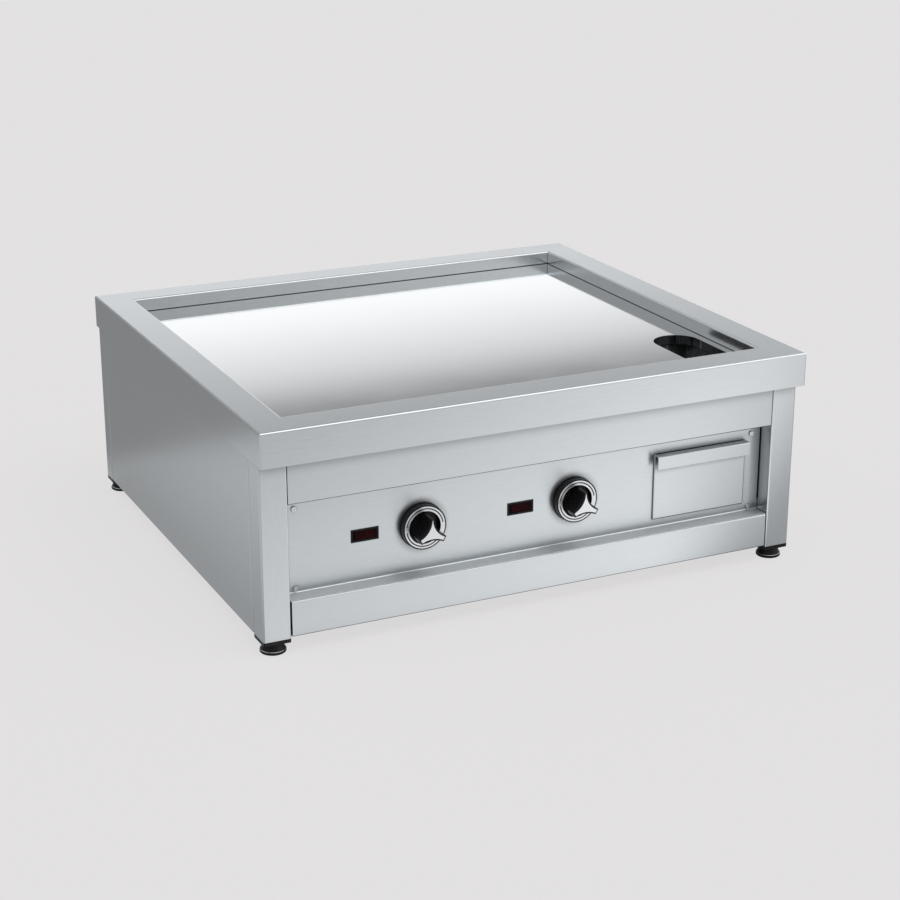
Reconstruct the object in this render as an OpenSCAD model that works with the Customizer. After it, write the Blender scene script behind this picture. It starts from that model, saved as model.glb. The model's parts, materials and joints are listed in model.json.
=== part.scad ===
// Two-zone electric flat top griddle on four levelling feet, with a grease drawer in its front.
// Millimetres. +Z is up and the front faces -Y. The origin is the middle of the footprint,
// on the surface that the feet stand on.

/* [Overall] */
// Width over the top frame
overall_w = 900; // [890:5:1100]
// Depth over the top frame
overall_d = 805; // [780:5:900]
// Height from the surface it stands on to the rim
overall_h = 346; // [340:1:380]

/* [Top frame] */
// Width of the rim along the front
rim_front = 58; // [56:1:64]
// Width of the rim along each side
rim_side = 54; // [52:1:60]
// Width of the rim along the back
rim_back = 54; // [50:1:60]
// Height of the skirt that hangs from the rim
skirt_h = 52.5; // [45:0.5:56]
// Depth of the well from the rim down to the plate
well_depth = 22.5; // [18:0.5:25]
// Outer radius of the rim's folds
rim_bend = 3; // [2.5:0.5:4]
// Thickness of the frame's sheet
frame_sheet = 1.5; // [1:0.1:2]

/* [Griddle plate] */
// Thickness of the plate
plate_t = 15; // [12:1:18]
// Width of the round-ended drain hole
drain_w = 77; // [70:1:80]
// Length of the drain hole
drain_l = 171; // [150:1:175]
// Distance from the drain hole to the well's front and right walls
drain_margin = 14.6; // [14:0.2:18]

/* [Cabinet] */
// How far the skirt stands in front of the legs
overhang_front = 18.6; // [16:0.2:20]
// How far the skirt stands outside the legs on each side
overhang_side = 3; // [2.5:0.5:4]
// How far the skirt stands behind the legs
overhang_back = 4.4; // [2:0.2:8]
// Height of the rim above the lower edge of the fascia
fascia_drop = 118.4; // [116:0.2:122]
// How far the control panel lies behind the fascia
panel_recess = 28; // [24:1:30]
// Height of the kick plate
kick_h = 54.3; // [50:0.1:56]
// Thickness of the outer panels
panel_sheet = 1.2; // [1:0.1:1.5]

/* [Legs and feet] */
// Width of a leg
leg_w = 42.4; // [40:0.2:44]
// Depth of a front leg
front_leg_d = 42; // [40:1:44]
// Depth of a rear leg
rear_leg_d = 33; // [30:1:36]
// Height of the legs' lower ends with the feet screwed right in
foot_h = 23.5; // [22:0.5:26]
// Radius of a foot's pad
pad_r = 19.5; // [18:0.5:20]
// How far a foot can be screwed out
foot_travel = 20; // [10:1:20]

/* [Controls] */
// Distance from the left edge to the left knob's axis
knob_from_left = 264; // [255:0.2:270]
// Distance between the two knobs
knob_pitch = 254.1; // [250:0.1:260]
// Depth of the knobs' axes below the rim
knob_drop = 194; // [190:1:198]
// Radius of a knob's silver ring
ring_r = 32.5; // [31:0.5:34]
// Distance from a knob's axis to its display's middle
display_offset = 90.6; // [80:0.2:95]

/* [Drawer] */
// Distance from the left edge to the drawer front
drawer_from_left = 658.6; // [650:0.2:660]
// Width of the drawer front
drawer_w = 166.4; // [160:0.2:170]
// Height of the drawer front
drawer_h = 107; // [105:1:110]
// Depth of the drawer front's upper edge below the rim
drawer_drop = 145; // [142:1:146]
// Length of the grease tray
tray_l = 330; // [280:10:360]

/* [Hidden] */
$fn = 64;

// Colours
steel = [0.78, 0.80, 0.82];
polished = [0.90, 0.91, 0.92];
bare_steel = [0.62, 0.63, 0.64];
black = [0.06, 0.06, 0.07];
silver = [0.86, 0.87, 0.88];
dark_red = [0.20, 0.03, 0.04];
element_grey = [0.34, 0.31, 0.29];
wool = [0.86, 0.82, 0.70];
cream = [0.88, 0.86, 0.80];

// Edges of the whole appliance
left = -overall_w / 2;
right = overall_w / 2;
front = -overall_d / 2;
back = overall_d / 2;
top = overall_h;
slack = 0.5;      // gap between panels that only lie side by side
through = 1;      // how far a cutting shape runs past the face it cuts
cut_sheet = 6;    // length of a cut that clears any sheet, centred on the sheet's face
hole_fit = 0.1;   // how much larger than its part a clearance hole is

// Top frame and plate
skirt_z = top - skirt_h;
skirt_return = 15;
well_lo = [left + rim_side, front + rim_front];
well_hi = [right - rim_side, back - rim_back];
plate_z = top - well_depth;
plate_base = plate_z - plate_t;
plate_lip = 4;    // how far the plate reaches under the well wall
seal_t = 1;
drain_end = drain_w / 2;
drain_x = well_hi.x - drain_margin - drain_end;
drain_front = well_lo.y + drain_margin;
drain_back = drain_front + drain_l;

// Legs
leg_bend = 2.5;
leg_wall = 1.5;
leg_x = right - overhang_side - leg_w / 2;
leg_front = front + overhang_front;
leg_back = back - overhang_back;
front_leg_y = leg_front + front_leg_d / 2;
rear_leg_y = leg_back - rear_leg_d / 2;
leg_inner = leg_x - leg_w / 2;
leg_top = top - frame_sheet;

// Cabinet panels
bend = 2;
fascia_y = leg_front + 0.8;
fascia_z = top - fascia_drop;
panel_y = leg_front + panel_recess;
panel_back = panel_y + panel_sheet;
kick_z = foot_h + 1.8;
ledge_z = kick_z + kick_h;
kick_side = 2;    // gap between the kick plate and each leg
ledge_back = panel_back + 20;
panel_side = 0.8; // gap between the control panel and each leg
panel_return = 15;
panel_x = leg_inner - panel_side;
sill_bend = 2;    // radius of the hollow between the control panel and its sill
panel_low_z = ledge_z + panel_sheet + sill_bend;
side_x = right - overhang_side;
side_front = leg_front + front_leg_d + slack;
side_back = leg_back - rear_leg_d - slack;
side_return = 12;
side_top = leg_top - 5;
fold_gap = 4;     // how far the inner sheets stop short of the side panels' folds
rear_y = leg_back - 27;
base_z = kick_z + panel_sheet;
base_top = base_z + panel_sheet;
base_lap = 18;    // how far the base panel lies over the kick plate's lower return
base_front = ledge_back + slack;
base_back = rear_y - panel_sheet;
base_upstand = 20;
vent_w = 4;
vent_l = 60;
vent_pitch = 14;
vent_end_flat = 0.02; // width of the flat left at each end of a slot
vent_count = 12;
base_vent_x = [left + 190, left + 470];
base_vent_y = [front + 340, front + 520];
rear_vent_x = 200;
rear_vent_z = top / 2;

// Support frame
rail_t = 3;
rail_h = 30;
rail_bearing = 8; // how far a rail reaches under the well
rail_z = plate_base - rail_t;
rail_front = fascia_y + panel_sheet + 1;
rail_back = side_back + 1.5;
rail_side = side_x - panel_sheet - 0.3;

// Feet
cap_flange = 6;
cap_plug = 24;
stud_r = 5;
stud_fit = 0.08;
stud_head_r = 8;
stud_grip = 11;   // length that stays in the cap with the foot screwed right out
pad_base = 4;
pad_gap = 0.6;    // gap between the pad and the cap with the foot screwed right in
pad_top = foot_h - cap_flange - pad_gap;
pad_neck_r = 13;
pad_edge = 1;
pad_socket_z = 6;
pad_roof = 3;     // thickness of the pad over the stud's head
socket_fit = 0.3;
stud_l = foot_h - cap_flange + stud_grip + foot_travel - pad_socket_z;

// Controls
knob_x = [left + knob_from_left, left + knob_from_left + knob_pitch];
knob_z = top - knob_drop;
bezel_h = 12.6;
bezel_r = ring_r + 2;
bezel_foot_t = 2;
bezel_foot_out = 0.8;
bowl_r = ring_r - 7;
ring_t = 1.2;
ring_proud = 0.3;
scale_in = ring_r - 4.2;
scale_out = ring_r - 2.4;
scale_depth = 0.6;
scale_spans = [[8, 172], [188, 325]];  // the upper and the lower groove, in degrees from the right
knob_base_t = 4;
knob_gap = 0.4;
grip_h = 40.3;    // from the panel to the grip's face
insert_t = 1.2;
insert_proud = 0.6;
grip_reach = 20.5;
grip_border = 1.9;
grip_tip = 0.35;
arm_end = 2.6;    // half the width of an arm's blunt end
arm_drop = 10;    // how far the lower arms' ends lie below the axis
arm_out = 18;     // how far the lower arms' ends lie to each side
upper_sag = 4.9;  // how deep the hollow between the upper arm and a lower one is
lower_sag = 3.8;  // how deep the hollow between the lower arms is
grip_fit = 0.05;
shaft_r = 3;
shaft_fit = 0.05;
shaft_front = 20; // how far the shaft stands in front of the panel
shaft_back = 24;  // how far it runs behind the panel
shaft_flat = 2.2; // distance from the axis to the shaft's flat
thermostat_size = [44, 40, 40];
thermostat_boss_r = 9;
thermostat_boss_l = 4;
thermostat_back = panel_back + thermostat_boss_l + thermostat_size.y;
bore_past = 2;    // how far a blind bore runs past the end of its shaft
shaft_hole_r = 5.5;

// Displays
window_size = [38, 14];
display_size = [44, 20];
display_depth = 22;
window_t = 2;
window_proud = 0.2;   // how far a window's face lies in front of the panel
display_proud = 0.4;   // how far a display's rim stands in front of the panel
window_fit = 0.1;

// Panel screws
screw_r = 2;
screw_hole_r = 2.2;
screw_head_r = 3.6;
screw_head_h = 2.3;
screw_l = 10;
screw_socket = 1.2;
screw_socket_r = 1.4;
screw_inset = 18.6;   // from the leg to a screw's axis
screw_top_z = top - 136;
screw_low_z = ledge_z + 8;
rear_screw_x = [-300, 0, 300];
rear_screw_top_z = rail_z - 15;
rear_screw_low_z = kick_z + 12;
lap_screw_y = ledge_back - base_lap / 2;

// Drawer
drawer_x = left + drawer_from_left + drawer_w / 2;
drawer_top = top - drawer_drop;
drawer_z = drawer_top - drawer_h;
drawer_gap = 1.1; // gap between the drawer and the edge of its opening
drawer_stand = 3; // how far the drawer front's face stands in front of the panel
drawer_y = panel_y - drawer_stand;
drawer_return = drawer_stand - slack;
lip_out = 15;     // how far the lip stands in front of the panel
lip_h = 20.5;
tray_side = 5.4;  // from the drawer front's edge to the tray
tray_floor = drawer_z + 5;
tray_h = 95;
tray_y = drawer_y + panel_sheet;
tray_w = drawer_w - 2 * tray_side;
tray_corner = 6;
runner_wall = 1.5;
runner_gap = 0.4;
runner_flange = 12;
runner_back = tray_y + tray_l + 40;
runner_front = ledge_back + slack;

// Chute under the drain hole
chute_sheet = 1.2;
chute_front = drain_front - 2;
chute_back = drain_back + 2;
chute_left = drain_x - drain_end - 2;
chute_right = drain_x + drain_end + 2;
chute_low = drawer_top + 3;
chute_top = plate_base;
chute_low_right = drawer_x + tray_w / 2 - 8;
chute_low_left = chute_left - 16;
chute_flange = 4;

// Heating
below_plate = 0.25;   // gap between the plate and what is clamped under it
tube_r = 4.25;
tube_pitch = 54;
tube_runs = 6;
tube_z = plate_base - tube_r - below_plate;
zone_x = [left + 250, left + 590];
tube_front = front + 140;
tube_back = front + 690;
tube_end = front + 92;
pin_r = 2;
pin_l = 10;
clamp_y = [front + 200, front + 400, front + 600];
clamp_size = [(tube_runs - 1) * tube_pitch + 32, 25, 3];
clamp_z = tube_z - tube_r - below_plate - clamp_size.z;
clamp_bolt_r = 3;
clamp_fit = 0.3;
clamp_bolt_z = clamp_z - 7;
nut_h = 5;
nut_r = 5.8;
probe_r = 3;
probe_l = 140;
capillary_r = 1;
probe_y = front + 92;
capillary_y = probe_y - 6;

// Heat shield and blanket
shield_t = 1;
shield_z = top - 93.5;
shield_x = rail_side - rail_t - 0.5;
shield_front = front + 100;
shield_back = rail_back - rail_t - 1;
shield_upstand = 30;
blanket_t = 34;
notch_x = chute_low_left - chute_sheet - 5;
notch_y = chute_back + chute_sheet + 5;

// Electrics on the base panel and the rear
limiter_at = [left + 205, front + 125];
limiter_size = [44, 30, 26];
button_r = 4;
button_fit = 0.3;
button_hole_r = 5;
button_out = 5;
button_in = 10;
button_room = 6;  // space above the button inside the limiter
terminal_at = [left + 150, back - 75];
terminal_size = [90, 26, 22];
terminal_ways = 5;
terminal_screw_r = 3;
terminal_screw_h = 8;
terminal_hole_z = 4;
terminal_hole_l = 6;
gland_x = left + 150;
gland_z = 75;
gland_bore_r = 8.5;
gland_thread_r = 12.4;
gland_hex_r = 17.5;
gland_dome_r = 15.5;
gland_hex_t = 5;
gland_out = 25;
gland_in = 12;
stud_x = left + 215;
stud_z = 60;
bond_r = 3;
bond_flange_r = 7;
bond_flange_t = 3;
bond_out = 22;
bond_in = 6;
bead = 0.15;      // how much larger than its wire the bead at a turn is
wire_r = 3.5;
lead_r = 2.9;
loom_y = front + 96;
loom_z = base_top + 18;
lead_y = tube_end - pin_l - 8;
lead_z = drawer_top + 10;

// ---- Shared shapes ----

// Box between two corners
module box(lo, hi) {
    translate(lo) cube(hi - lo);
}

// Plan rectangle with rounded corners, centred
module rounded_rect(w, d, r) {
    square([w - 2 * r, d], center = true);
    square([w, d - 2 * r], center = true);
    for (sx = [-1, 1], sy = [-1, 1])
        translate([sx * (w / 2 - r), sy * (d / 2 - r)]) circle(r);
}

// Strip below the X axis whose two upper corners can be rounded
module edge_profile(l, depth, r_lo, r_hi) {
    difference() {
        translate([0, -depth]) square([l, depth]);
        if (r_lo > 0)
            difference() {
                translate([-through, -r_lo]) square([r_lo + through, r_lo + through]);
                translate([r_lo, -r_lo]) circle(r_lo);
                translate([r_lo, -r_lo]) square([through, 2 * through + r_lo]);
            }
        if (r_hi > 0)
            difference() {
                translate([l - r_hi, -r_hi]) square([r_hi + through, r_hi + through]);
                translate([l - r_hi, -r_hi]) circle(r_hi);
            }
    }
}

// Block under the plane z = 0 from lo to hi, its upper edges rounded by r = [left, right, front, back]
module slab(lo, hi, depth, r) {
    intersection() {
        translate([lo.x, hi.y, 0])
            rotate([90, 0, 0]) linear_extrude(hi.y - lo.y) edge_profile(hi.x - lo.x, depth, r[0], r[1]);
        translate([lo.x, lo.y, 0])
            rotate([90, 0, 90]) linear_extrude(hi.x - lo.x) edge_profile(hi.y - lo.y, depth, r[2], r[3]);
    }
}

// Sheet panel under z = 0, folded down at the sides marked 1 in folds = [left, right, front, back]
module folded(lo, hi, depth, t, r, folds) {
    difference() {
        slab(lo, hi, depth, r * folds);
        translate([0, 0, -t])
            slab(
                lo + [folds[0] ? t : -through, folds[2] ? t : -through],
                hi - [folds[1] ? t : -through, folds[3] ? t : -through],
                depth, (r - t) * folds
            );
    }
}

// The same, standing up with its face towards the front at y
module folded_front(lo, hi, y, depth, t, r, folds) {
    translate([0, y, 0]) rotate([90, 0, 0]) folded(lo, hi, depth, t, r, folds);
}

// Profile of an opening whose upper edges flare outwards in a round of radius r
module flared_profile(l, depth, r) {
    translate([0, -depth]) square([l, depth + through]);
    difference() {
        translate([-r, -r]) square([l + 2 * r, r + through]);
        translate([-r, -r]) circle(r);
        translate([l + r, -r]) circle(r);
    }
}

// Opening from lo to hi with flared upper edges
module flared_opening(lo, hi, depth, r) {
    span = hi - lo;
    intersection() {
        translate([lo.x, hi.y + r, 0])
            rotate([90, 0, 0]) linear_extrude(span.y + 2 * r) flared_profile(span.x, depth, r);
        translate([lo.x - r, lo.y, 0])
            rotate([90, 0, 90]) linear_extrude(span.x + 2 * r) flared_profile(span.y, depth, r);
    }
}

// Cylinder from front to back along +Y, starting at y
module rod_y(x, y, z, l, r, sides = 64) {
    translate([x, y, z]) rotate([-90, 0, 0]) cylinder(h = l, r = r, $fn = sides);
}

// Straight round wire between two points
module wire(a, b, r) {
    v = b - a;
    translate(a) rotate([0, acos(v.z / norm(v)), atan2(v.y, v.x)]) cylinder(h = norm(v), r = r);
}

// Wire through a list of points, with a small bead at each turn
module wire_run(points, r) {
    for (i = [0 : len(points) - 2])
        wire(points[i], points[i + 1], r);
    for (i = [1 : len(points) - 2])
        translate(points[i]) sphere(r + bead);
}

// Row of vertical vent slots through a sheet, centred on x = 0 in the XY plane
module vent_slots(w, l, pitch, count) {
    for (i = [0 : count - 1])
        translate([(i - (count - 1) / 2) * pitch, 0])
            rounded_rect(w, l, (w - vent_end_flat) / 2);
}

// ---- Top ----

module top_frame() {
    w = overall_w;
    d = overall_d;
    t = frame_sheet;
    wall = [t, t];
    wall_top = top - t / 2;
    color(steel)
    intersection() {
        translate([0, 0, skirt_z - through])
            linear_extrude(skirt_h + 2 * through) rounded_rect(w, d, bend);
        difference() {
            union() {
                translate([0, 0, top])
                    folded([left, front], [right, back], skirt_h, t, rim_bend, [1, 1, 1, 1]);
                // well wall
                difference() {
                    box([each (well_lo - wall), plate_z + seal_t], [each (well_hi + wall), wall_top]);
                    box([each well_lo, plate_z], [each well_hi, top]);
                }
                // return along the foot of the front skirt
                box([left + t, front + t, skirt_z], [right - t, front + skirt_return, skirt_z + t]);
            }
            translate([0, 0, top]) flared_opening(well_lo, well_hi, well_depth, rim_bend);
        }
    }
}

// Round-ended outline of the drain hole, or one larger all round
module drain_outline(extra) {
    for (y = [drain_front + drain_end, drain_back - drain_end])
        translate([drain_x, y]) circle(drain_end + extra);
    translate([drain_x - drain_end - extra, drain_front + drain_end])
        square([drain_w + 2 * extra, drain_l - drain_w]);
}

module griddle_plate() {
    lip = [plate_lip, plate_lip];
    color(polished)
    difference() {
        box([each (well_lo - lip), plate_base], [each (well_hi + lip), plate_z]);
        translate([0, 0, plate_base - through]) linear_extrude(plate_t + 2 * through) drain_outline(0);
    }
}

module plate_seal() {
    wall = [frame_sheet, frame_sheet];
    color(black)
    difference() {
        box([each (well_lo - wall), plate_z], [each (well_hi + wall), plate_z + seal_t]);
        box([each well_lo, plate_z - through], [each well_hi, plate_z + seal_t + through]);
    }
}

module plate_support_frame() {
    reach_x = well_hi.x - rail_bearing;
    end_x = leg_inner;
    start_y = side_front + fold_gap;
    end_y = side_back - fold_gap;
    color(bare_steel)
    difference() {
        union() {
            // front and rear rails
            box([-end_x, rail_front, rail_z], [end_x, well_lo.y + rail_bearing, plate_base]);
            box([-end_x, rail_front, rail_z - rail_h], [end_x, rail_front + rail_t, plate_base]);
            box([-end_x, well_hi.y - rail_bearing, rail_z], [end_x, rail_back, plate_base]);
            box([-end_x, rail_back - rail_t, rail_z - rail_h], [end_x, rail_back, plate_base]);
            // side rails
            for (s = [0, 1]) mirror([s, 0, 0]) {
                box([reach_x, start_y, rail_z], [rail_side, end_y, plate_base]);
                box([rail_side - rail_t, start_y, rail_z - rail_h], [rail_side, end_y, plate_base]);
            }
        }
        for (x = rear_screw_x)
            rod_y(x, rail_back - rail_t - through, rear_screw_top_z, rail_t + 2 * through, screw_hole_r);
    }
}

// ---- Cabinet panels ----

module front_fascia() {
    end_x = leg_inner - slack;
    color(steel)
    folded_front(
        [-end_x, fascia_z], [end_x, plate_base],
        fascia_y, panel_y - fascia_y, panel_sheet, bend, [0, 0, 1, 0]
    );
}

// Section of the control panel's foot: a hollow bend, then a sill that lies on the kick plate
module sill_profile() {
    t = panel_sheet;
    sill_front = leg_front + bend;
    bend_y = panel_y - sill_bend;
    translate([sill_front, ledge_z]) square([bend_y - sill_front, t]);
    translate([bend_y, panel_low_z]) intersection() {
        difference() {
            circle(sill_bend + t);
            circle(sill_bend);
        }
        translate([0, -sill_bend - t]) square(sill_bend + t);
    }
    translate([panel_y, panel_low_z]) square([t, panel_return]);
}

module control_panel() {
    depth = panel_sheet + 2 * through;
    color(steel)
    difference() {
        union() {
            folded_front(
                [-panel_x, panel_low_z], [panel_x, fascia_z + panel_return],
                panel_y, panel_return, panel_sheet, bend, [1, 1, 0, 0]
            );
            translate([-panel_x, 0, 0])
                rotate([90, 0, 90]) linear_extrude(2 * panel_x) sill_profile();
        }
        for (x = knob_x) {
            rod_y(x, panel_y - through, knob_z, depth, shaft_hole_r);
            translate([x - display_offset, panel_y + depth / 2 - through, knob_z])
                cube([display_size.x, depth, display_size.y], center = true);
        }
        for (s = [-1, 1], z = [screw_top_z, screw_low_z])
            rod_y(s * (leg_inner - screw_inset), panel_y - through, z, depth, screw_hole_r);
        box(
            [drawer_x - tray_w / 2 - drawer_gap, panel_y - through, tray_floor - drawer_gap],
            [drawer_x + tray_w / 2 + drawer_gap, panel_y - through + depth, drawer_top + drawer_gap]
        );
    }
}

module kick_plate() {
    end_x = leg_inner - kick_side;
    color(steel)
    difference() {
        folded_front(
            [-end_x, kick_z], [end_x, ledge_z],
            leg_front, ledge_back - leg_front, panel_sheet, bend, [0, 0, 1, 1]
        );
        for (x = rear_screw_x)
            translate([x, lap_screw_y, kick_z - cut_sheet / 2]) cylinder(h = cut_sheet, r = screw_hole_r);
    }
}

// Right side panel, folded in along its front and rear edges
module side_panel() {
    color(steel)
    translate([side_x, 0, 0])
    rotate([90, 0, 90])
    folded([side_front, foot_h], [side_back, side_top], side_return, panel_sheet, bend, [1, 1, 0, 0]);
}

module left_side_panel() {
    mirror([1, 0, 0]) side_panel();
}

module right_side_panel() {
    side_panel();
}

module rear_panel() {
    end_x = leg_inner - slack;
    color(steel)
    difference() {
        box([-end_x, rear_y - panel_sheet, kick_z], [end_x, rear_y, rail_z + rail_t]);
        for (x = [-rear_vent_x, rear_vent_x])
            translate([x, rear_y + through, rear_vent_z]) rotate([90, 0, 0])
                linear_extrude(panel_sheet + 2 * through) vent_slots(vent_w, vent_l, vent_pitch, vent_count);
        translate([0, rear_y - cut_sheet / 2, 0]) {
            rod_y(gland_x, 0, gland_z, cut_sheet, gland_thread_r + hole_fit);
            rod_y(stud_x, 0, stud_z, cut_sheet, bond_r + hole_fit);
            for (x = rear_screw_x, z = [rear_screw_low_z, rear_screw_top_z])
                rod_y(x, 0, z, cut_sheet, screw_hole_r);
        }
    }
}

module base_panel() {
    middle_x = leg_inner - slack;
    color(steel)
    difference() {
        union() {
            box([-rail_side, base_front, base_z], [rail_side, side_back - fold_gap, base_top]);
            // middle part, from its lap over the kick plate's return to its upstand at the rear
            box([-middle_x, ledge_back - base_lap, base_z], [middle_x, base_back, base_top]);
            box([-middle_x, base_back - panel_sheet, base_z], [middle_x, base_back, base_z + base_upstand]);
        }
        translate([0, 0, base_z - cut_sheet / 2]) {
            for (x = base_vent_x, y = base_vent_y)
                translate([x, y, 0])
                    linear_extrude(cut_sheet) vent_slots(vent_w, vent_l, vent_pitch, vent_count);
            translate(limiter_at) cylinder(h = cut_sheet, r = button_hole_r);
            for (x = rear_screw_x)
                translate([x, lap_screw_y, 0]) cylinder(h = cut_sheet, r = screw_hole_r);
        }
        for (x = rear_screw_x)
            rod_y(x, base_back - cut_sheet / 2, rear_screw_low_z, cut_sheet, screw_hole_r);
    }
}

// ---- Legs and feet ----

// A leg, cap, pad or stud is placed by its corner: side is -1 left or 1 right, end is -1 front or 1 rear
function leg_at(side, end) = [side * leg_x, end < 0 ? front_leg_y : rear_leg_y];
function leg_depth(end) = end < 0 ? front_leg_d : rear_leg_d;

module leg(side, end) {
    d = leg_depth(end);
    color(steel)
    translate([each leg_at(side, end), foot_h])
    linear_extrude(leg_top - foot_h)
    difference() {
        rounded_rect(leg_w, d, leg_bend);
        rounded_rect(leg_w - 2 * leg_wall, d - 2 * leg_wall, leg_bend - leg_wall);
    }
}

module leg_cap(side, end) {
    d = leg_depth(end);
    in = 2 * (leg_wall + hole_fit);
    color(black)
    translate([each leg_at(side, end), foot_h - cap_flange])
    difference() {
        union() {
            linear_extrude(cap_flange) rounded_rect(leg_w, d, leg_bend);
            translate([0, 0, cap_flange]) linear_extrude(cap_plug) rounded_rect(leg_w - in, d - in, 1);
        }
        translate([0, 0, -through]) cylinder(h = cap_flange + cap_plug + 2 * through, r = stud_r + stud_fit);
    }
}

// Pad with a conical top, hollow inside for the stud's head
module foot_pad(side, end) {
    color(black)
    translate([each leg_at(side, end), 0])
    rotate_extrude()
    difference() {
        polygon([
            [0, 0], [pad_r - pad_edge, 0], [pad_r, pad_edge],
            [pad_r, pad_base], [pad_r - pad_edge, pad_base + pad_edge],
            [pad_neck_r, pad_top], [0, pad_top],
        ]);
        translate([0, pad_socket_z - socket_fit])
            square([stud_head_r + socket_fit, pad_top - pad_roof - pad_socket_z + 2 * socket_fit]);
        translate([0, pad_socket_z]) square([stud_r + socket_fit, pad_top]);
    }
}

// Threaded stud whose round head turns in the pad
module foot_stud(side, end) {
    color(bare_steel)
    translate([each leg_at(side, end), 0])
    rotate_extrude()
    union() {
        translate([0, pad_socket_z]) square([stud_head_r, pad_top - pad_roof - pad_socket_z]);
        translate([0, pad_socket_z]) square([stud_r, stud_l]);
    }
}

// ---- Controls ----

// Centre of the circle that passes a and b and sags by s to the left of the way from a to b
function flank_radius(a, b, s) = (pow(norm(b - a) / 2, 2) + s * s) / (2 * s);
function flank_centre(a, b, s) =
    let (u = (b - a) / norm(b - a), n = [-u.y, u.x])
    (a + b) / 2 + n * (s - flank_radius(a, b, s));

module flank(a, b, s) {
    translate(flank_centre(a, b, s)) circle(flank_radius(a, b, s), $fn = 128);
}

// Three-armed outline with a sharp arm up and two blunt arms down, all three flanks hollow
module star(extra) {
    tip = [grip_tip + extra, grip_reach + extra];
    arm = [arm_out, -arm_drop];
    out = arm / norm(arm);
    across = [-out.y, out.x];
    upper = arm + across * (arm_end + extra) + out * extra;
    lower = arm - across * (arm_end + extra) + out * extra;
    difference() {
        polygon([
            tip, upper, lower,
            [-lower.x, lower.y], [-upper.x, upper.y], [-tip.x, tip.y],
        ]);
        flank(upper, tip, upper_sag);
        mirror([1, 0]) flank(upper, tip, upper_sag);
        flank([-lower.x, lower.y], lower, lower_sag);
    }
}

// Things turned about a knob's axis are drawn along +Z and laid over so that +Z points to the front
module on_knob_axis(x) {
    translate([x, panel_y, knob_z]) rotate([90, 0, 0]) children();
}

module knob_bezel(i) {
    color(black)
    on_knob_axis(knob_x[i])
    difference() {
        union() {
            cylinder(h = bezel_h, r = bezel_r);
            cylinder(h = bezel_foot_t, r = bezel_r + bezel_foot_out);
        }
        translate([0, 0, -through]) cylinder(h = bezel_h + 2 * through, r = bowl_r);
        translate([0, 0, bezel_h - ring_t + ring_proud])
            cylinder(h = ring_t + through, r = ring_r + grip_fit);
    }
}

module scale_ring(i) {
    color(silver)
    on_knob_axis(knob_x[i])
    translate([0, 0, bezel_h - ring_t + ring_proud])
    difference() {
        cylinder(h = ring_t, r = ring_r);
        translate([0, 0, -through]) cylinder(h = ring_t + 2 * through, r = bowl_r + hole_fit);
        for (span = scale_spans)
            rotate([0, 0, span[0]])
                rotate_extrude(angle = span[1] - span[0])
                    translate([scale_in, ring_t - scale_depth])
                        square([scale_out - scale_in, scale_depth + through]);
    }
}

module shaft_section(r) {
    difference() {
        circle(r);
        translate([-r, shaft_flat + r - shaft_r]) square([2 * r, r]);
    }
}

module knob(i) {
    color(black)
    on_knob_axis(knob_x[i])
    difference() {
        union() {
            translate([0, 0, knob_gap]) cylinder(h = knob_base_t, r = bowl_r - knob_gap);
            translate([0, 0, knob_gap]) linear_extrude(grip_h - insert_proud - knob_gap) star(grip_border);
        }
        translate([0, 0, -through])
            linear_extrude(shaft_front + bore_past + through) shaft_section(shaft_r + shaft_fit);
        translate([0, 0, grip_h - insert_t]) linear_extrude(insert_t) star(grip_fit);
    }
}

module knob_insert(i) {
    color(silver)
    on_knob_axis(knob_x[i])
    translate([0, 0, grip_h - insert_t]) linear_extrude(insert_t) star(0);
}

module thermostat_shaft(i) {
    color(bare_steel)
    on_knob_axis(knob_x[i])
    translate([0, 0, -shaft_back]) linear_extrude(shaft_back + shaft_front) shaft_section(shaft_r);
}

module thermostat(i) {
    size = thermostat_size;
    face = -panel_sheet - thermostat_boss_l;
    color(cream)
    on_knob_axis(knob_x[i])
    difference() {
        union() {
            translate([-size.x / 2, -size.z / 2, face - size.y]) cube([size.x, size.z, size.y]);
            translate([0, 0, face - through])
                cylinder(h = thermostat_boss_l + through, r = thermostat_boss_r);
        }
        translate([0, 0, -shaft_back - bore_past])
            cylinder(h = shaft_back + bore_past, r = shaft_r + shaft_fit);
    }
}

module display_windows() {
    color(dark_red)
    for (x = knob_x)
        translate([x - display_offset, panel_y + window_t / 2 - window_proud, knob_z])
            cube([window_size.x, window_t, window_size.y], center = true);
}

module display_modules() {
    body = [display_size.x - window_fit, display_depth, display_size.y - window_fit];
    recess = [window_size.x + window_fit, window_t + through, window_size.y + window_fit];
    color(black)
    for (x = knob_x)
        translate([x - display_offset, 0, knob_z])
        difference() {
            translate([0, panel_y - display_proud + display_depth / 2, 0])
                cube(body, center = true);
            translate([0, panel_y - window_proud + (window_t - through) / 2, 0])
                cube(recess, center = true);
        }
}

// ---- Drawer ----

module drawer_front() {
    lo = drawer_x - drawer_w / 2;
    hi = drawer_x + drawer_w / 2;
    t = panel_sheet;
    color(steel)
    union() {
        folded_front([lo, drawer_z], [hi, drawer_top], drawer_y, drawer_return, t, bend, [1, 1, 1, 0]);
        // lip: out from the upper edge, then down
        folded_front(
            [lo, drawer_top - lip_h], [hi, drawer_top],
            panel_y - lip_out, lip_out - drawer_stand + t, t, bend, [0, 0, 0, 1]
        );
    }
}

module drawer_tray() {
    w = tray_w;
    t = panel_sheet;
    y = tray_y + tray_l / 2;
    color(steel)
    translate([drawer_x, y, tray_floor])
    difference() {
        linear_extrude(tray_h) rounded_rect(w, tray_l, tray_corner);
        translate([0, 0, t]) linear_extrude(tray_h) rounded_rect(w - 2 * t, tray_l - 2 * t, tray_corner - t);
    }
}

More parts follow.
